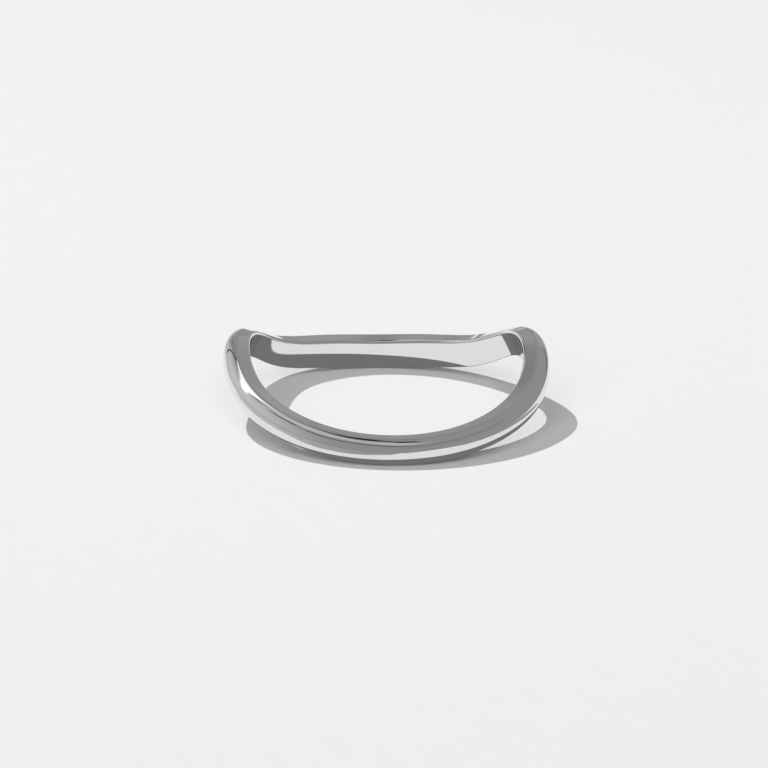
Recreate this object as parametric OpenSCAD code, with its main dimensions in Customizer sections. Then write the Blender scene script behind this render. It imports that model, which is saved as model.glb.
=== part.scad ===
// Curved wedding band, one solid piece of polished white metal.
// It lies on its side: the front dips to the surface, both flanks rise into arches
// and the back runs low again. Millimetres, +Z up. The origin lies on the surface,
// under the middle of the finger hole, and -Y is the front.

/* [Finger hole] */
// Diameter of the finger hole at the middle of the band's height
bore_d = 16.5; // [14:0.1:22]

/* [Band] */
// Thickness of the band at the front, from the finger outwards
front_t = 1.58; // [1.3:0.01:2]
// Thickness of the band at the back
back_t = 1.41; // [1.3:0.01:2]
// Height of the band at the front, where it dips
front_h = 1.47; // [1.3:0.01:2.2]
// Height of the band at the sides
side_h = 1.52; // [1.3:0.01:2.2]
// Height of the band at the back
back_h = 1.85; // [1.3:0.01:2.2]

/* [Edges] */
// Height of the outer face's ridge, as a share of the band's height
ridge_share = 0.44; // [0.3:0.01:0.7]
// How far the shoulder above the ridge draws in towards the flat top at the front
front_shoulder_d = 0.59; // [0.2:0.01:0.8]
// The same draw at the sides
side_shoulder_d = 0.74; // [0.2:0.01:0.8]
// The same draw at the back
back_shoulder_d = 0.49; // [0.2:0.01:0.8]
// How far the curve below the ridge draws in towards the flat underside
belly_d = 0.32; // [0.1:0.01:0.8]
// Radius that rounds the upper edge of the finger hole
finger_top_r = 0.23; // [0.05:0.01:0.4]
// Radius that rounds the lower edge of the finger hole
finger_low_r = 0.05; // [0.04:0.01:0.4]

/* [Lean] */
// Degrees that the band leans in towards its top at the front
front_lean = 3.6; // [0:0.1:12]
// The same lean at the sides
side_lean = 9.1; // [0:0.1:12]
// The same lean at the back
back_lean = 9.3; // [0:0.1:12]
// How far the section tips along with the wave: 0 stays upright, 1 stays square to it
follow = 0.53; // [0:0.01:1]

/* [Wave] */
// Rise of the band's middle above the front, 22.5 degrees round from the front
rise_22 = 0.17; // [0:0.01:0.4]
// The same rise, 45 degrees round
rise_45 = 0.7; // [0.3:0.01:1]
// The same rise, 67.5 degrees round
rise_67 = 1.54; // [1:0.01:1.9]
// The same rise at the side, 90 degrees round
rise_90 = 2.67; // [1.9:0.01:2.8]
// The same rise behind the arch's top, 112.5 degrees round
rise_112 = 2.56; // [1.9:0.01:2.8]
// The same rise, 135 degrees round
rise_135 = 1.09; // [0.7:0.01:1.5]
// The same rise, 157.5 degrees round
rise_157 = 0.41; // [0.2:0.01:0.7]

/* [Hidden] */

// Polished white metal
metal_color = [0.80, 0.80, 0.81];

// Sections round the band, and steps along each outer and each inner corner of one
ring_steps = 180;
outer_steps = 10;
inner_steps = 5;

bore_r = bore_d / 2;

// A size that changes smoothly from the front over the sides to the back
function eased(front, side, back, a) =
    (front + back) / 2
        + (front - back) / 2 * cos(a)
        + ((front + back) / 2 - side) / 2 * (cos(2 * a) - 1);

function band_t(a) = eased(front_t, (front_t + back_t) / 2, back_t, a);
function band_h(a) = eased(front_h, side_h, back_h, a);
function shoulder_d(a) = eased(front_shoulder_d, side_shoulder_d, back_shoulder_d, a);
function lean(a) = eased(front_lean, side_lean, back_lean, a);

// The back rises just enough for its lower edge to lie level with the front's
rise_back = (back_h * cos(back_lean) - front_h * cos(front_lean)) / 2;
rises = [0, rise_22, rise_45, rise_67, rise_90, rise_112, rise_135, rise_157, rise_back];

// A closed wave of cosines through the rises, the same on the left and the right
last = len(rises) - 1;
function end_weight(i) = i == 0 || i == last ? 0.5 : 1;
wave = [
    for (k = [0 : last])
        2 / last * end_weight(k)
            * (rises * [for (j = [0 : last]) end_weight(j) * cos(180 * j * k / last)])
];
function rise(a) = wave * [for (k = [0 : last]) cos(k * a)];
function rise_per_radian(a) = -wave * [for (k = [0 : last]) k * sin(k * a)];

// One rounded corner of the section: centre and radii, each outwards and upwards
function corner(centre, radii, start, steps) = [
    for (i = [0 : steps])
        let (a = start + 90 * i / steps)
            [centre[0] + radii[0] * cos(a), centre[1] + radii[1] * sin(a)]
];

// The section at a degrees: flat against the finger, above and below, ridged outside.
// The shoulder starts on the ridge, where the belly ends, so the belly's last point is left out.
function section(a) =
    let (
        t = band_t(a),
        half = band_h(a) / 2,
        low = 2 * half * ridge_share,
        ridge = low - half,
        shoulder = shoulder_d(a),
        belly_points = corner([t - belly_d, ridge], [belly_d, low], -90, outer_steps)
    )
        concat(
            [for (i = [0 : outer_steps - 1]) belly_points[i]],
            corner([t - shoulder, ridge], [shoulder, half - ridge], 0, outer_steps),
            corner(
                [finger_top_r, half - finger_top_r], [finger_top_r, finger_top_r],
                90, inner_steps
            ),
            corner(
                [finger_low_r, finger_low_r - half], [finger_low_r, finger_low_r],
                180, inner_steps
            )
        );
section_points = len(section(0));

// The section's place at a degrees round from the front, leaning and tipped with the wave
function placed_section(a) =
    let (
        out = [sin(a), -cos(a), 0],
        slope = follow * rise_per_radian(a),
        up = [-cos(a) * slope, -sin(a) * slope, bore_r] / norm([slope, bore_r]),
        cosine = cos(lean(a)),
        sine = sin(lean(a))
    )
        [
            for (p = section(a))
                (bore_r + p[0] * cosine - p[1] * sine) * out
                    + (p[0] * sine + p[1] * cosine) * up
                    + [0, 0, rise(a)]
        ];

function lowest(sections) = min([for (s = sections) min([for (p = s) p[2]])]);

// Two triangles for each patch between one section and the next
function patch(i, j) =
    let (
        a = i * section_points,
        b = (i + 1) % ring_steps * section_points,
        k = (j + 1) % section_points
    )
        [[a + j, b + k, b + j], [a + j, a + k, b + k]];

module band() {
    sections = [for (i = [0 : ring_steps - 1]) placed_section(360 * i / ring_steps)];
    floor_z = lowest(sections);
    color(metal_color)
        translate([0, 0, -floor_z])
            polyhedron(
                points = [for (s = sections) each s],
                faces = [
                    for (i = [0 : ring_steps - 1], j = [0 : section_points - 1])
                        each patch(i, j)
                ]
            );
}

band();
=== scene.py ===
"""Looks of a curved wedding band: one slim ring of polished white metal on a pale surface."""

import logging
import math
from dataclasses import dataclass, field
from enum import Enum

import bpy
from mathutils import Matrix, Vector


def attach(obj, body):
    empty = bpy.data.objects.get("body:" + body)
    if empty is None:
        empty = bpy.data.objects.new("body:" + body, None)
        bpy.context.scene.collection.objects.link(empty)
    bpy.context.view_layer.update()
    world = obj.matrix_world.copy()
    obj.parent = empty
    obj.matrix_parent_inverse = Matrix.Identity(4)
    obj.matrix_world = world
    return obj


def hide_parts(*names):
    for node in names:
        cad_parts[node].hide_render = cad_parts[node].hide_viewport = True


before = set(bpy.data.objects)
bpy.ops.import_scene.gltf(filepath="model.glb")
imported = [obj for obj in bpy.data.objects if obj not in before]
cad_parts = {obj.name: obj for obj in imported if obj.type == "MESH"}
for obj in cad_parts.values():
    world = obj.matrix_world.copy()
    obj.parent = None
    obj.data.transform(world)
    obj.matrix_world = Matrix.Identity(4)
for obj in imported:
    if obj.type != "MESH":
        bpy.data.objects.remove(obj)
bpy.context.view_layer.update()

log = logging.getLogger("wedding_band")

MM = 0.001
PLACES = ("Front", "Side", "Back")


class Slot(Enum):
    """The record's material slots."""

    WHITE_METAL = "white_metal"


class Reach(Enum):
    """Which rays a lamp or card answers to."""

    GLOSS_ONLY = "gloss_only"
    NOT_IN_GLOSS = "not_in_gloss"


def direction(azimuth: float, elevation: float) -> Vector:
    """Points from the ring's middle into the room.

    Args:
        azimuth: Degrees round from the front, towards +X.
        elevation: Degrees above the surface.

    Returns:
        A vector of length one.
    """
    round_turn, up_turn = math.radians(azimuth), math.radians(elevation)
    return Vector((
        math.sin(round_turn) * math.cos(up_turn),
        -math.cos(round_turn) * math.cos(up_turn),
        math.sin(up_turn),
    ))


def show_to(thing: bpy.types.Object, reach: Reach) -> None:
    """Limits the rays that see a lamp or card.

    Args:
        thing: The lamp or card.
        reach: The rays that may see it.
    """
    thing.visible_camera = False
    thing.visible_shadow = False
    thing.visible_glossy = reach is not Reach.NOT_IN_GLOSS
    if reach is Reach.GLOSS_ONLY:
        thing.visible_diffuse = False


def smooth_line(points: list[Vector], steps: int) -> list[Vector]:
    """Draws a smooth line through points.

    Args:
        points: The points, in their order.
        steps: How many parts each gap between two points gets.

    Returns:
        Points along the line.
    """
    points = [2 * points[0] - points[1], *points, 2 * points[-1] - points[-2]]
    line = []
    for a, b, c, d in zip(points, points[1:], points[2:], points[3:]):
        for step in range(steps):
            t = step / steps
            bend = (2 * a - 5 * b + 4 * c - d) * t ** 2 + (3 * b - a - 3 * c + d) * t ** 3
            line.append(b + ((c - a) * t + bend) / 2)
    line.append(points[-2])
    return line


def strip_faces(rows: int, columns: int) -> list[tuple[int, int, int, int]]:
    """Joins rows of points to a strip.

    Args:
        rows: The number of rows.
        columns: The number of points in a row.

    Returns:
        The strip's faces, as point numbers.
    """
    return [
        (i * columns + j, i * columns + j + 1, (i + 1) * columns + j + 1, (i + 1) * columns + j)
        for i in range(rows - 1)
        for j in range(columns - 1)
    ]


def eased_cover(share: float) -> float:
    """Returns a share held between 0 and 1, with a soft start and a soft end."""
    share = max(0.0, min(1.0, share))
    return share * share * (3 - 2 * share)


@dataclass
class Formulas:
    """Writes sums as the math nodes of one node tree."""

    tree: bpy.types.NodeTree

    def maths(self, operation: str, *values: object) -> bpy.types.NodeSocket:
        """Adds one math node.

        Args:
            operation: The math node's operation.
            values: Numbers or sockets, in the node's order.

        Returns:
            The node's result.
        """
        node = self.tree.nodes.new("ShaderNodeMath")
        node.operation = operation
        for socket, value in zip(node.inputs, values):
            self.feed(socket, value)
        return node.outputs[0]

    def feed(self, socket: bpy.types.NodeSocket, value: object) -> None:
        """Links a socket to a socket, or sets it to a number.

        Args:
            socket: The input.
            value: A number or another node's output.
        """
        if isinstance(value, bpy.types.NodeSocket):
            self.tree.links.new(value, socket)
        else:
            socket.default_value = value

    def add(self, a: object, b: object) -> bpy.types.NodeSocket:
        """Returns a + b."""
        return self.maths("ADD", a, b)

    def take(self, a: object, b: object) -> bpy.types.NodeSocket:
        """Returns a - b."""
        return self.maths("SUBTRACT", a, b)

    def times(self, a: object, b: object) -> bpy.types.NodeSocket:
        """Returns a * b."""
        return self.maths("MULTIPLY", a, b)

    def over(self, a: object, b: object) -> bpy.types.NodeSocket:
        """Returns a / b."""
        return self.maths("DIVIDE", a, b)

    def cosine(self, a: object) -> bpy.types.NodeSocket:
        """Returns the cosine of a, in radians."""
        return self.maths("COSINE", a)

    def sine(self, a: object) -> bpy.types.NodeSocket:
        """Returns the sine of a, in radians."""
        return self.maths("SINE", a)

    def pick(self, flag: object, yes: object, no: object) -> bpy.types.NodeSocket:
        """Returns yes where flag is 1 and no where it is 0."""
        return self.maths("MULTIPLY_ADD", flag, self.take(yes, no), no)

    def eased(
        self, given: bpy.types.bpy_prop_collection, size: str, turns: tuple[object, object]
    ) -> bpy.types.NodeSocket:
        """Adds a size that changes smoothly from the front over the sides to the back.

        Args:
            given: The tree's inputs, with a front, a side and a back value of the size.
            size: The size's name.
            turns: The cosine of the angle round from the front, and that of twice the angle.

        Returns:
            The size at that angle.
        """
        once, twice = turns
        front, side, back = (given[f"{place} {size}"] for place in PLACES)
        mean = self.times(self.add(front, back), 0.5)
        swing = self.times(self.take(front, back), 0.5)
        dip = self.times(self.take(mean, side), 0.5)
        waves = self.add(self.times(swing, once), self.times(dip, self.take(twice, 1.0)))
        return self.add(mean, waves)

    def vector(self, x: object, y: object, z: object) -> bpy.types.NodeSocket:
        """Returns the vector (x, y, z)."""
        node = self.tree.nodes.new("ShaderNodeCombineXYZ")
        for socket, value in zip(node.inputs, (x, y, z)):
            self.feed(socket, value)
        return node.outputs[0]


@dataclass(frozen=True)
class PolishedWhiteMetal:
    """White precious metal, mirror-polished, with hair-fine lines that run round the band."""

    tone: tuple[float, float, float] = (0.82, 0.82, 0.82)
    roughness: float = 0.05
    roughness_swing: float = 0.03
    cloud_scale: float = 260.0
    cloud_detail: float = 3.0
    hairlines_across: float = 16000.0
    hairlines_along: float = 5.0
    hairline_detail: float = 2.0
    hairline_depth: float = 0.00006 * MM

    def material(self) -> bpy.types.Material:
        """Makes the material.

        Returns:
            A node material for the band.
        """
        material = bpy.data.materials.new("polished_white_metal")
        material.use_nodes = True
        nodes, links = material.node_tree.nodes, material.node_tree.links
        shader = nodes["Principled BSDF"]
        shader.inputs["Metallic"].default_value = 1.0
        shader.inputs["Base Color"].default_value = (*self.tone, 1.0)
        place = nodes.new("ShaderNodeTexCoord").outputs["Object"]

        clouds = nodes.new("ShaderNodeTexNoise")
        clouds.inputs["Scale"].default_value = self.cloud_scale
        clouds.inputs["Detail"].default_value = self.cloud_detail
        links.new(place, clouds.inputs["Vector"])
        swing = nodes.new("ShaderNodeMapRange")
        swing.inputs["To Min"].default_value = self.roughness - self.roughness_swing / 2
        swing.inputs["To Max"].default_value = self.roughness + self.roughness_swing / 2
        links.new(clouds.outputs["Fac"], swing.inputs["Value"])
        links.new(swing.outputs["Result"], shader.inputs["Roughness"])

        bump = nodes.new("ShaderNodeBump")
        bump.inputs["Distance"].default_value = self.hairline_depth
        links.new(self.hairlines(Formulas(material.node_tree), place), bump.inputs["Height"])
        links.new(bump.outputs["Normal"], shader.inputs["Normal"])
        return material

    def hairlines(self, f: Formulas, place: bpy.types.NodeSocket) -> bpy.types.NodeSocket:
        """Adds noise that is fine across the band and drawn out along it.

        Args:
            f: Writes the nodes.
            place: The point on the band.

        Returns:
            The noise.
        """
        nodes, links = f.tree.nodes, f.tree.links
        parts = nodes.new("ShaderNodeSeparateXYZ")
        links.new(place, parts.inputs["Vector"])
        x, y, z = parts.outputs
        radius = f.maths("SQRT", f.maths("MULTIPLY_ADD", x, x, f.times(y, y)))
        noise = nodes.new("ShaderNodeTexNoise")
        noise.noise_dimensions = "4D"
        noise.inputs["Scale"].default_value = 1.0
        noise.inputs["Detail"].default_value = self.hairline_detail
        links.new(
            f.vector(
                f.times(f.over(x, radius), self.hairlines_along),
                f.times(f.over(y, radius), self.hairlines_along),
                f.times(z, self.hairlines_across),
            ),
            noise.inputs["Vector"],
        )
        links.new(f.times(radius, self.hairlines_across), noise.inputs["W"])
        return noise.outputs["Fac"]


@dataclass(frozen=True)
class PaleSurface:
    """The pale, faintly mottled surface that the ring lies on, with a wide patch of painted light
    in its colour.
    """

    tone: float = 0.81
    painted_pool_middle: tuple[float, float] = (-40.0 * MM, 70.0 * MM)
    painted_pool_fade: float = 4.1
    mottle: float = 0.03
    mottle_calm: float = 0.25
    mottle_detail: float = 3.0
    mottle_turn: float = math.radians(18.0)
    mottle_across: float = 900.0
    mottle_along: float = 330.0
    mottle_near: float = -55.0 * MM
    mottle_far: float = 90.0 * MM

    def material(self) -> bpy.types.Material:
        """Makes the material.

        Returns:
            A node material for the floor.
        """
        material = bpy.data.materials.new("pale_surface")
        material.use_nodes = True
        nodes, links = material.node_tree.nodes, material.node_tree.links
        shader = nodes["Principled BSDF"]
        shader.inputs["Roughness"].default_value = 1.0
        shader.inputs["Specular IOR Level"].default_value = 0.0
        parts = nodes.new("ShaderNodeSeparateXYZ")
        links.new(nodes.new("ShaderNodeTexCoord").outputs["Object"], parts.inputs["Vector"])
        x, y, _ = parts.outputs
        f = Formulas(material.node_tree)
        # The grey carries painted light, fading away from the middle of the lit patch.
        grey = f.times(f.times(self.painted_pool(f, x, y), self.mottling(f, x, y)), self.tone)
        links.new(f.vector(grey, grey, grey), shader.inputs["Base Color"])
        return material

    def painted_pool(
        self, f: Formulas, x: bpy.types.NodeSocket, y: bpy.types.NodeSocket
    ) -> bpy.types.NodeSocket:
        """Adds painted light: a factor on the surface's colour that fades slowly away from its
        middle.

        Args:
            f: Writes the nodes.
            x: The point's first coordinate.
            y: Its second coordinate.

        Returns:
            One in the middle, less away from it.
        """
        away_x = f.take(x, self.painted_pool_middle[0])
        away_y = f.take(y, self.painted_pool_middle[1])
        away = f.maths("MULTIPLY_ADD", away_x, away_x, f.times(away_y, away_y))
        return f.over(1.0, f.maths("MULTIPLY_ADD", away, self.painted_pool_fade, 1.0))

    def mottling(
        self, f: Formulas, x: bpy.types.NodeSocket, y: bpy.types.NodeSocket
    ) -> bpy.types.NodeSocket:
        """Adds short faint streaks that show most close to the viewer.

        Args:
            f: Writes the nodes.
            x: The point's first coordinate.
            y: Its second coordinate.

        Returns:
            A factor close to one.
        """
        tree = f.tree
        cosine, sine = math.cos(self.mottle_turn), math.sin(self.mottle_turn)
        across = f.maths("MULTIPLY_ADD", x, cosine, f.times(y, sine))
        along = f.maths("MULTIPLY_ADD", y, cosine, f.times(x, -sine))
        noise = tree.nodes.new("ShaderNodeTexNoise")
        noise.inputs["Scale"].default_value = 1.0
        noise.inputs["Detail"].default_value = self.mottle_detail
        tree.links.new(
            f.vector(f.times(across, self.mottle_across), f.times(along, self.mottle_along), 0.0),
            noise.inputs["Vector"],
        )
        strength = tree.nodes.new("ShaderNodeMapRange")
        strength.inputs["From Min"].default_value = self.mottle_far
        strength.inputs["From Max"].default_value = self.mottle_near
        strength.inputs["To Min"].default_value = self.mottle * self.mottle_calm
        strength.inputs["To Max"].default_value = self.mottle
        tree.links.new(y, strength.inputs["Value"])
        swing = f.take(noise.outputs["Fac"], 0.5)
        return f.maths("MULTIPLY_ADD", swing, strength.outputs["Result"], 1.0)


@dataclass
class Band:
    """The ring's one piece: a ridged section carried round the finger hole on a wave.

    A size given three times holds at the front, the sides and the back.
    """

    hole_diameter: float = 16.5 * MM
    thickness: tuple[float, float, float] = (1.58 * MM, 1.495 * MM, 1.41 * MM)
    height: tuple[float, float, float] = (1.47 * MM, 1.52 * MM, 1.85 * MM)
    shoulder: tuple[float, float, float] = (0.59 * MM, 0.74 * MM, 0.49 * MM)
    lean: tuple[float, float, float] = (math.radians(3.6), math.radians(9.1), math.radians(9.3))
    ridge_share: float = 0.44
    belly: float = 0.32 * MM
    finger_top_radius: float = 0.23 * MM
    finger_low_radius: float = 0.05 * MM
    follow: float = 0.53
    rises: tuple[float, ...] = (
        0.0, 0.17 * MM, 0.7 * MM, 1.54 * MM, 2.67 * MM, 2.56 * MM, 1.09 * MM, 0.41 * MM,
    )
    ring_steps: int = 480
    corner_steps: int = 16
    seam_gap: float = 0.0001 * MM
    finish: PolishedWhiteMetal = field(default_factory=PolishedWhiteMetal)

    CORNERS = 4

    def wave(self) -> list[float]:
        """Works out the cosines that lead the band's middle through its rises.

        Returns:
            One height for each number of waves round the ring, from none up.
        """
        front, _, back = (
            height * math.cos(lean) for height, lean in zip(self.height, self.lean)
        )
        rises = [*self.rises, (back - front) / 2]
        last = len(rises) - 1

        def end_weight(i: int) -> float:
            """Returns a half at either end of the row and one between."""
            return 0.5 if i in (0, last) else 1.0

        return [
            2 / last * end_weight(k) * sum(
                end_weight(j) * rise * math.cos(math.pi * j * k / last)
                for j, rise in enumerate(rises)
            )
            for k in range(last + 1)
        ]

    def sizes(self) -> dict[str, float | int]:
        """Lists the tree's inputs and their values.

        Returns:
            Input names and values, in metres and radians.
        """
        sizes: dict[str, float | int] = {
            "Hole radius": self.hole_diameter / 2,
            "Ridge share": self.ridge_share,
            "Belly": self.belly,
            "Finger top radius": self.finger_top_radius,
            "Finger low radius": self.finger_low_radius,
            "Follow": self.follow,
            "Seam gap": self.seam_gap,
            "Ring steps": self.ring_steps,
            "Corner steps": self.corner_steps,
        }
        for name in ("thickness", "height", "shoulder", "lean"):
            for place, value in zip(PLACES, getattr(self, name)):
                sizes[f"{place} {name}"] = value
        for k, height in enumerate(self.wave()):
            sizes[f"Wave {k}"] = height
        return sizes

    def tree(self) -> bpy.types.NodeTree:
        """Builds the geometry tree that sweeps the section round the ring.

        Returns:
            The node tree, with one named input for each size.
        """
        tree = bpy.data.node_groups.new("sweep_band", "GeometryNodeTree")
        for name, value in self.sizes().items():
            kind = "NodeSocketInt" if isinstance(value, int) else "NodeSocketFloat"
            tree.interface.new_socket(name, in_out="INPUT", socket_type=kind)
        tree.interface.new_socket("Metal", in_out="INPUT", socket_type="NodeSocketMaterial")
        tree.interface.new_socket("Band", in_out="OUTPUT", socket_type="NodeSocketGeometry")
        given = tree.nodes.new("NodeGroupInput").outputs
        f = Formulas(tree)

        round_points = f.times(f.add(given["Corner steps"], 1), self.CORNERS)
        row_points = f.add(round_points, 1)
        grid = tree.nodes.new("GeometryNodeMeshGrid")
        f.feed(grid.inputs["Vertices X"], f.add(given["Ring steps"], 1))
        f.feed(grid.inputs["Vertices Y"], row_points)

        index = tree.nodes.new("GeometryNodeInputIndex").outputs["Index"]
        row = f.maths("FLOOR", f.over(f.add(index, 0.5), row_points))
        point = f.maths("MODULO", f.take(index, f.times(row, row_points)), round_points)
        angle = f.times(f.over(row, given["Ring steps"]), 2 * math.pi)

        slope, rise = self.wave_nodes(f, given, angle)
        outwards, upwards = self.section_nodes(f, given, point, angle)
        tip = f.times(slope, given["Follow"])
        place = self.place_nodes(f, given, angle, rise, tip, outwards, upwards)

        shaped = tree.nodes.new("GeometryNodeSetPosition")
        tree.links.new(grid.outputs["Mesh"], shaped.inputs["Geometry"])
        tree.links.new(place, shaped.inputs["Position"])
        lowered = self.rest_on_surface(f, shaped.outputs["Geometry"])

        closed = tree.nodes.new("GeometryNodeMergeByDistance")
        tree.links.new(lowered, closed.inputs["Geometry"])
        tree.links.new(given["Seam gap"], closed.inputs["Distance"])
        smooth = tree.nodes.new("GeometryNodeSetShadeSmooth")
        tree.links.new(closed.outputs["Geometry"], smooth.inputs["Geometry"])
        real = tree.nodes.new("GeometryNodeRealizeInstances")
        tree.links.new(smooth.outputs["Geometry"], real.inputs["Geometry"])
        dressed = tree.nodes.new("GeometryNodeSetMaterial")
        tree.links.new(real.outputs["Geometry"], dressed.inputs["Geometry"])
        tree.links.new(given["Metal"], dressed.inputs["Material"])
        result = tree.nodes.new("NodeGroupOutput")
        tree.links.new(dressed.outputs["Geometry"], result.inputs["Band"])
        return tree

    def wave_nodes(
        self, f: Formulas, given: bpy.types.bpy_prop_collection, angle: bpy.types.NodeSocket
    ) -> tuple[bpy.types.NodeSocket, bpy.types.NodeSocket]:
        """Adds the wave's height and its slope at an angle.

        Args:
            f: Writes the nodes.
            given: The tree's inputs.
            angle: The angle round from the front.

        Returns:
            The slope a radian and the rise.
        """
        slope: object = 0.0
        rise: object = 0.0
        for k in range(len(self.wave())):
            turn = f.times(angle, float(k))
            height = given[f"Wave {k}"]
            rise = f.maths("MULTIPLY_ADD", height, f.cosine(turn), rise)
            slope = f.maths("MULTIPLY_ADD", f.times(height, -float(k)), f.sine(turn), slope)
        return slope, rise

    def section_nodes(
        self,
        f: Formulas,
        given: bpy.types.bpy_prop_collection,
        point: bpy.types.NodeSocket,
        angle: bpy.types.NodeSocket,
    ) -> tuple[bpy.types.NodeSocket, bpy.types.NodeSocket]:
        """Adds a point's place in the section, with the band's lean.

        Args:
            f: Writes the nodes.
            given: The tree's inputs.
            point: The point's number round the section.
            angle: The angle round from the front.

        Returns:
            How far the point is outwards from the finger hole and upwards from the middle.
        """
        turns = (f.cosine(angle), f.cosine(f.times(angle, 2.0)))
        height = f.eased(given, "height", turns)
        half = f.times(height, 0.5)
        low = f.times(height, given["Ridge share"])

        corner_points = f.add(given["Corner steps"], 1)
        corner = f.maths("FLOOR", f.over(f.add(point, 0.5), corner_points))
        step = f.over(f.take(point, f.times(corner, corner_points)), given["Corner steps"])
        eased = f.times(f.take(1.0, f.cosine(f.times(step, math.pi))), 0.5)
        turn = f.times(f.take(f.add(corner, eased), 1.0), math.pi / 2)

        # Corners 0 and 1 are on the outer side, and corners 1 and 2 are the upper ones.
        outer = f.maths("LESS_THAN", corner, 1.5)
        upper = f.maths("LESS_THAN", f.maths("ABSOLUTE", f.take(corner, 1.5)), 1.0)
        finger = f.pick(upper, given["Finger top radius"], given["Finger low radius"])
        edge = f.pick(upper, f.eased(given, "shoulder", turns), given["Belly"])
        across = f.pick(outer, edge, finger)
        along = f.pick(outer, f.pick(upper, f.take(height, low), low), finger)
        middle_across = f.pick(outer, f.take(f.eased(given, "thickness", turns), across), across)
        inner_along = f.times(f.take(half, along), f.take(f.times(upper, 2.0), 1.0))
        middle_along = f.pick(outer, f.take(low, half), inner_along)
        flat_across = f.maths("MULTIPLY_ADD", across, f.cosine(turn), middle_across)
        flat_along = f.maths("MULTIPLY_ADD", along, f.sine(turn), middle_along)

        lean = f.eased(given, "lean", turns)
        lean_cosine, lean_sine = f.cosine(lean), f.sine(lean)
        outwards = f.take(f.times(flat_across, lean_cosine), f.times(flat_along, lean_sine))
        upwards = f.add(f.times(flat_across, lean_sine), f.times(flat_along, lean_cosine))
        return outwards, upwards

    def place_nodes(
        self,
        f: Formulas,
        given: bpy.types.bpy_prop_collection,
        angle: bpy.types.NodeSocket,
        rise: bpy.types.NodeSocket,
        slope: bpy.types.NodeSocket,
        outwards: bpy.types.NodeSocket,
        upwards: bpy.types.NodeSocket,
    ) -> bpy.types.NodeSocket:
        """Adds a point's place in space, square to the wave.

        Args:
            f: Writes the nodes.
            given: The tree's inputs.
            angle: The angle round from the front.
            rise: The height of the band's middle there.
            slope: The share of the rise a radian that the section tips with.
            outwards: How far the point is out from the finger hole.
            upwards: How far it is up the section.

        Returns:
            The point's place.
        """
        radius = given["Hole radius"]
        length = f.maths("SQRT", f.maths("MULTIPLY_ADD", slope, slope, f.times(radius, radius)))
        share = f.over(upwards, length)
        back_lean = f.times(share, slope)
        reach = f.add(radius, outwards)
        sine, cosine = f.sine(angle), f.cosine(angle)
        x = f.take(f.times(reach, sine), f.times(back_lean, cosine))
        y = f.take(f.times(f.times(reach, -1.0), cosine), f.times(back_lean, sine))
        z = f.maths("MULTIPLY_ADD", share, radius, rise)
        return f.vector(x, y, z)

    def rest_on_surface(
        self, f: Formulas, geometry: bpy.types.NodeSocket
    ) -> bpy.types.NodeSocket:
        """Adds the nodes that bring the band's lowest point to the surface.

        Args:
            f: Writes the nodes.
            geometry: The shaped band.

        Returns:
            The band at its height.
        """
        tree = f.tree
        where = tree.nodes.new("GeometryNodeInputPosition").outputs["Position"]
        parts = tree.nodes.new("ShaderNodeSeparateXYZ")
        tree.links.new(where, parts.inputs["Vector"])
        heights = tree.nodes.new("GeometryNodeAttributeStatistic")
        tree.links.new(geometry, heights.inputs["Geometry"])
        tree.links.new(parts.outputs["Z"], heights.inputs["Attribute"])
        lowered = tree.nodes.new("GeometryNodeSetPosition")
        tree.links.new(geometry, lowered.inputs["Geometry"])
        drop = f.vector(0.0, 0.0, f.times(heights.outputs["Min"], -1.0))
        tree.links.new(drop, lowered.inputs["Offset"])
        return lowered.outputs["Geometry"]

    def build(self) -> bpy.types.Object:
        """Builds the band as a plain mesh in the CAD band's place.

        Returns:
            The finished piece.
        """
        tree = self.tree()
        holder = bpy.data.objects.new("band_sweep", bpy.data.meshes.new("band_sweep"))
        bpy.context.scene.collection.objects.link(holder)
        sweep = holder.modifiers.new("sweep", "NODES")
        sweep.node_group = tree
        identifiers = {
            socket.name: socket.identifier
            for socket in tree.interface.items_tree
            if socket.in_out == "INPUT"
        }
        for name, value in self.sizes().items():
            sweep[identifiers[name]] = value
        sweep[identifiers["Metal"]] = self.finish.material()

        bpy.context.view_layer.update()
        ready = holder.evaluated_get(bpy.context.evaluated_depsgraph_get())
        mesh = bpy.data.meshes.new_from_object(ready)
        mesh.name = "polished_band"
        bpy.data.objects.remove(holder)
        band = bpy.data.objects.new("polished_band", mesh)
        bpy.context.scene.collection.objects.link(band)
        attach(band, "root")
        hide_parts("band")
        return band


@dataclass(frozen=True)
class Veil:
    """Even light on a sheet that only the metal sees, and that is clear where it covers nothing."""

    name: str
    glow: float

    def hang(
        self, points: list[Vector], faces: list[tuple[int, ...]], covers: list[float]
    ) -> bpy.types.Object:
        """Builds the sheet.

        Args:
            points: Its points.
            faces: Its faces, as point numbers.
            covers: How much each point hides of what lies behind, from 0 to 1.

        Returns:
            The sheet's object.
        """
        mesh = bpy.data.meshes.new(self.name)
        mesh.from_pydata(points, [], faces)
        mesh.attributes.new("cover", "FLOAT", "POINT").data.foreach_set("value", covers)
        mesh.materials.append(self.material())
        sheet = bpy.data.objects.new(self.name, mesh)
        bpy.context.scene.collection.objects.link(sheet)
        show_to(sheet, Reach.GLOSS_ONLY)
        return sheet

    def material(self) -> bpy.types.Material:
        """Makes the sheet's glow, which thins out with the cover.

        Returns:
            A material of light and clear air.
        """
        material = bpy.data.materials.new(self.name)
        material.use_nodes = True
        nodes, links = material.node_tree.nodes, material.node_tree.links
        nodes.remove(nodes["Principled BSDF"])
        cover = nodes.new("ShaderNodeAttribute")
        cover.attribute_name = "cover"
        clear = nodes.new("ShaderNodeBsdfTransparent")
        light = nodes.new("ShaderNodeEmission")
        light.inputs["Strength"].default_value = self.glow
        mix = nodes.new("ShaderNodeMixShader")
        links.new(cover.outputs["Fac"], mix.inputs[0])
        links.new(clear.outputs["BSDF"], mix.inputs[1])
        links.new(light.outputs["Emission"], mix.inputs[2])
        links.new(mix.outputs["Shader"], nodes["Material Output"].inputs["Surface"])
        return material


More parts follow.
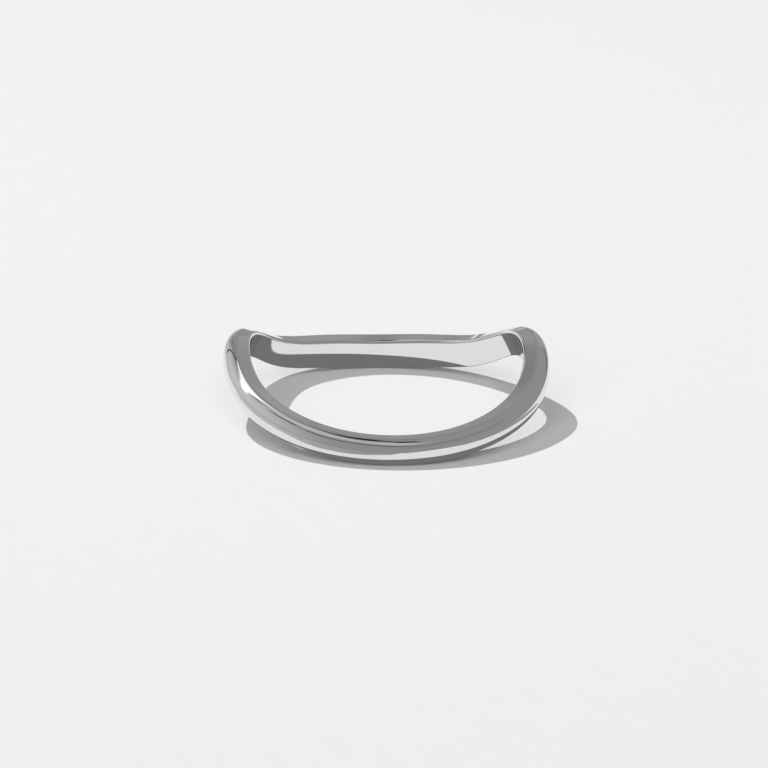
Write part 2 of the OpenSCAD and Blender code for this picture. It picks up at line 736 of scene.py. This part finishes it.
@dataclass(frozen=True)
class Card:
    """A bent strip of the room, far from the ring.

    It follows a path of directions, each an azimuth and an elevation in degrees, and fades
    over a share of its width and of its length. The width is in degrees too.
    """

    name: str
    path: tuple[tuple[float, float], ...]
    width: float
    glow: float
    soft: float = 0.5
    ends: float = 0.3

    STEPS = 6

    def columns(self) -> list[float]:
        """Returns places across the strip, from -1 to 1, close together where it fades."""
        fade = [1 - self.soft * step / self.STEPS for step in range(self.STEPS + 1)]
        return sorted({round(side * place, 6) for place in fade for side in (-1, 1)})

    def build(self, distance: float) -> bpy.types.Object:
        """Builds the strip.

        Args:
            distance: How far it hangs from the ring.

        Returns:
            The strip's object.
        """
        drawn = smooth_line([direction(*point) for point in self.path], self.STEPS)
        line, columns = [point.normalized() for point in drawn], self.columns()
        gone = [0.0]
        for a, b in zip(line, line[1:]):
            gone.append(gone[-1] + a.angle(b))
        points, covers = [], []
        for i, middle in enumerate(line):
            ahead = line[min(i + 1, len(line) - 1)] - line[max(i - 1, 0)]
            side = middle.cross(ahead).normalized()
            end_cover = min(gone[i], gone[-1] - gone[i]) / (self.ends * gone[-1] / 2)
            for place in columns:
                turn = math.radians(self.width / 2 * place)
                points.append((middle * math.cos(turn) + side * math.sin(turn)) * distance)
                covers.append(eased_cover(min(end_cover, (1 - abs(place)) / self.soft)))
        faces = strip_faces(len(line), len(columns))
        return Veil(self.name, self.glow).hang(points, faces, covers)


@dataclass(frozen=True)
class PaintedDimReflection:
    """A painted reflection: a glowing sheet on the surface, seen only in the metal, so that the
    metal mirrors this part of the surface dimmer than it lies.

    Each station is a point on the part's inner edge, in mm, and how much the part covers there.
    The part reaches outwards from the edge.
    """

    name: str
    stations: tuple[tuple[float, float, float], ...]
    glow: float = 0.35
    fade: float = 0.03
    reach: float = 3.0
    clearance: float = 0.02 * MM

    COLUMNS = 3

    def build(self) -> bpy.types.Object:
        """Lays the part just above the surface.

        Returns:
            The sheet's object.
        """
        points, covers = [], []
        lift = Vector((0.0, 0.0, self.clearance))
        for x, y, cover in self.stations:
            start = Vector((x, y, 0.0)) * MM
            points += [start * (1 - self.fade) + lift, start + lift]
            points.append(start.normalized() * self.reach + lift)
            covers += [0.0, cover, cover]
        faces = strip_faces(len(self.stations), self.COLUMNS)
        return Veil(self.name, self.glow).hang(points, faces, covers)


@dataclass(frozen=True)
class PaintedMirroredShadow:
    """A painted shadow: a flat glowing sheet, seen only in the metal, that stands for the ring's
    shadow as the metal mirrors it, darker than the eye sees it.
    """

    glow: float = 0.19
    pull: float = 0.1 * MM
    pull_start: float = 1.0 * MM
    pull_length: float = 5.0 * MM
    clearance: float = 0.002 * MM

    def build(self, band: bpy.types.Object, travel: Vector) -> bpy.types.Object:
        """Casts the ring on the surface as a flat sheet, with the back pulled in a little.

        Args:
            band: The ring.
            travel: The way that the key light's rays run.

        Returns:
            The sheet's object.
        """
        points = []
        for vertex in band.data.vertices:
            cast = vertex.co - travel * (vertex.co.z / travel.z)
            pull = self.pull * eased_cover((cast.y - self.pull_start) / self.pull_length)
            points.append(Vector((cast.x, cast.y - pull, self.clearance)))
        faces = [tuple(face.vertices) for face in band.data.polygons]
        return Veil("painted_mirrored_shadow", self.glow).hang(points, faces, [1.0] * len(points))


def room_cards() -> tuple[Card, ...]:
    """Lists the room's cards.

    Returns:
        The cards, from the farthest to the nearest.
    """
    return (
        Card("left_wall", ((-183, -1), (-105, 26), (-30, 44)), 107.7, 0.63, 1, 1),
        Card("right_wall", ((-1, 28), (75, 40), (100, 41)), 26.6, 0.25, 1, 0.59),
        Card("corner", ((129, 12), (150, -5)), 55.3, 0.1, 1, 1),
        Card("right_back", ((142, 20), (170, 15)), 49.7, 0.36, 0.37, 0.28),
        Card("back_grey", ((-170, 11), (-164, 30), (-156, 75)), 28.8, 0.25, 0.82, 0.6),
        Card("back_side", ((170, 15), (176, 34), (-199, 68)), 11.9, 0.27, 1, 0.31),
        Card("back_low", (
            (177, 8), (-166, 7), (-156, 9), (-147, 7), (-135, 1),
        ), 5.5, 1.01, 1, 0.17),
        Card("white_low", ((10, -3), (35, -1), (54, -6)), 12.7, 1.71, 1, 0.61),
        Card("band", (
            (-169, 73), (-150, 70), (-120, 69), (-90, 72), (-60, 72), (-30, 72), (0, 68),
            (23, 52),
        ), 23.6, 0.54, 0.61, 0.15),
        Card("line_mid", (
            (-78, 58), (-62, 54), (-50, 51), (-38, 49), (-25, 48), (-10, 46), (8, 46), (24, 45),
        ), 11, 0.12, 0.8, 0.3),
        Card("blob", ((-110, 56), (-98, 59), (-87, 60), (-74, 58)), 9, 0, 0.7, 0.5),
        Card("line_short", ((-152, 62), (-141, 61), (-130, 58), (-120, 56)), 3.2, 0.05, 0.7, 0.4),
        Card("arc", ((-172, 59), (-162, 60), (-150, 60), (-140, 58)), 5, 1, 0.5, 0.1),
        Card("streak", (
            (-152, 60), (-142, 59), (-134, 56), (-128, 53), (-122, 48), (-116, 41), (-112, 35),
        ), 6, 2, 0.8, 0.3),
        Card("line_left", (
            (-145, 6), (-145, 20), (-146, 32), (-148, 44), (-153, 52), (-160, 56), (-170, 58),
        ), 3, 0.03, 0.7, 0.2),
        Card("line_top", (
            (179, 60), (-178, 66), (-175, 73), (-166, 81), (130, 86), (60, 82), (32, 76),
        ), 9, 0, 0.5, 0.1),
    )


def painted_dim_reflections() -> tuple[PaintedDimReflection, ...]:
    """Lists the painted reflections that make parts of the surface look dimmer in the metal.

    Returns:
        The parts on the left and on the right.
    """
    return (
        PaintedDimReflection("painted_dim_reflection_left", (
            (-30, 10.5, 0.5), (-24, 7, 0.52), (-20.5, 2.5, 0.55), (-17.5, -1, 0.56),
            (-15.3, -3.6, 0.58), (-14.3, -5.4, 0.62), (-13.2, -7, 0.68), (-11.5, -8.4, 0.75),
            (-9.5, -9.1, 0.8), (-7.8, -9.4, 0.84), (-6.2, -9.8, 0.88), (-4.9, -10.6, 0.93),
            (-3.6, -11.15, 0.96), (-2.5, -11.9, 1), (-1.5, -13.2, 1), (-0.4, -14.5, 1),
            (1.5, -25, 1), (5, -60, 1),
        )),
        PaintedDimReflection("painted_dim_reflection_right", (
            (60, -56, 1), (17.5, -14.2, 1), (16.5, -11.5, 1), (14.3, -9, 1), (13.9, -7, 1),
            (13.6, -4, 1), (14, 0, 1),
        )),
    )


@dataclass
class Studio:
    """The pale surface, the lamps and all that the metal mirrors.

    Each card hangs a step nearer than the one before it, so that it covers that one.
    """

    floor_size: float = 12.0
    surround_glow: float = 0.31
    key_strength: float = 2.215
    key_travel: tuple[float, float, float] = (0.3535, -0.4753, -0.8057)
    key_width: float = math.radians(0.6)
    fill_power: float = 17.8
    fill_size: float = 2.0
    fill_distance: float = 2.0
    fill_azimuth: float = -12.0
    fill_elevation: float = 45.0
    card_distance: float = 2.0
    card_step: float = 0.02
    surface: PaleSurface = field(default_factory=PaleSurface)
    cards: tuple[Card, ...] = field(default_factory=room_cards)
    painted_dim_reflections: tuple[PaintedDimReflection, ...] = field(default_factory=painted_dim_reflections)
    shadow: PaintedMirroredShadow = field(default_factory=PaintedMirroredShadow)

    def build_floor(self) -> bpy.types.Object:
        """Lays the surface at the ring's lowest point.

        Returns:
            The floor's object.
        """
        half = self.floor_size / 2
        mesh = bpy.data.meshes.new("floor")
        mesh.from_pydata(
            [(-half, -half, 0), (half, -half, 0), (half, half, 0), (-half, half, 0)],
            [],
            [(0, 1, 2, 3)],
        )
        mesh.materials.append(self.surface.material())
        floor = bpy.data.objects.new("floor", mesh)
        bpy.context.scene.collection.objects.link(floor)
        return floor

    def build_key(self) -> bpy.types.Object:
        """Hangs the key light, whose rays run one way and cast the crisp shadow.

        Returns:
            The lamp's object.
        """
        lamp = bpy.data.lights.new("key", "SUN")
        lamp.energy = self.key_strength
        lamp.angle = self.key_width
        key = bpy.data.objects.new("key", lamp)
        key.rotation_euler = Vector(self.key_travel).to_track_quat("-Z", "Y").to_euler()
        bpy.context.scene.collection.objects.link(key)
        show_to(key, Reach.NOT_IN_GLOSS)
        return key

    def build_fill(self) -> bpy.types.Object:
        """Hangs the broad soft light in front, above the viewer.

        Returns:
            The lamp's object.
        """
        lamp = bpy.data.lights.new("fill", "AREA")
        lamp.energy = self.fill_power
        lamp.size = self.fill_size
        fill = bpy.data.objects.new("fill", lamp)
        away = direction(self.fill_azimuth, self.fill_elevation)
        fill.location = away * self.fill_distance
        fill.rotation_euler = (-away).to_track_quat("-Z", "Y").to_euler()
        bpy.context.scene.collection.objects.link(fill)
        show_to(fill, Reach.NOT_IN_GLOSS)
        return fill

    def build_surround(self) -> bpy.types.World:
        """Lights the room evenly from all round.

        Returns:
            The scene's world.
        """
        world = bpy.data.worlds.new("studio")
        world.use_nodes = True
        background = world.node_tree.nodes["Background"]
        background.inputs["Color"].default_value = (1.0, 1.0, 1.0, 1.0)
        background.inputs["Strength"].default_value = self.surround_glow
        bpy.context.scene.world = world
        return world

    def build(self, band: bpy.types.Object) -> list[bpy.types.Object]:
        """Sets up the whole studio.

        Args:
            band: The ring.

        Returns:
            The floor, the lamps and the sheets that the metal mirrors.
        """
        self.build_surround()
        hung = [
            card.build(self.card_distance - self.card_step * place)
            for place, card in enumerate(self.cards)
        ]
        # Painted reflections: glowing sheets on the surface that only the metal sees.
        laid = [part.build() for part in self.painted_dim_reflections]
        # The painted shadow: a dim sheet in the ring's cast shape that only the metal sees.
        laid.append(self.shadow.build(band, Vector(self.key_travel)))
        return [self.build_floor(), self.build_key(), self.build_fill(), *hung, *laid]


@dataclass(frozen=True)
class Viewpoint:
    """The camera's place, told from the point that it looks at."""

    target: tuple[float, float, float] = (0.2864 * MM, 5.3520 * MM, 0.0)
    azimuth: float = -4.302
    elevation: float = 18.534
    distance: float = 300.0 * MM
    roll: float = math.radians(0.990)
    sensor: float = 36.0
    lens: float = 230.78
    nearest: float = 0.01
    farthest: float = 50.0

    def build(self) -> bpy.types.Object:
        """Places the camera and makes it the scene's own.

        Returns:
            The camera's object.
        """
        lens = bpy.data.cameras.new("camera")
        lens.lens = self.lens
        lens.sensor_width = self.sensor
        lens.clip_start = self.nearest
        lens.clip_end = self.farthest
        camera = bpy.data.objects.new("camera", lens)
        away = direction(self.azimuth, self.elevation)
        camera.location = Vector(self.target) + away * self.distance
        upright = (-away).to_track_quat("-Z", "Y").to_matrix().to_4x4()
        camera.rotation_euler = (upright @ Matrix.Rotation(self.roll, 4, "Z")).to_euler()
        bpy.context.scene.collection.objects.link(camera)
        bpy.context.scene.camera = camera
        return camera


def main() -> None:
    """Builds the ring, the studio and the view, and reports each piece."""
    logging.basicConfig(level=logging.INFO, format="%(name)s: %(message)s")
    scene = bpy.context.scene
    scene.view_settings.view_transform = "Standard"
    band = Band().build()
    log.info("%s: %d faces", band.name, len(band.data.polygons))
    for thing in Studio().build(band):
        log.info("studio: %s", thing.name)
    log.info("view: %s", Viewpoint().build().name)


if __name__ == "__main__":
    main()
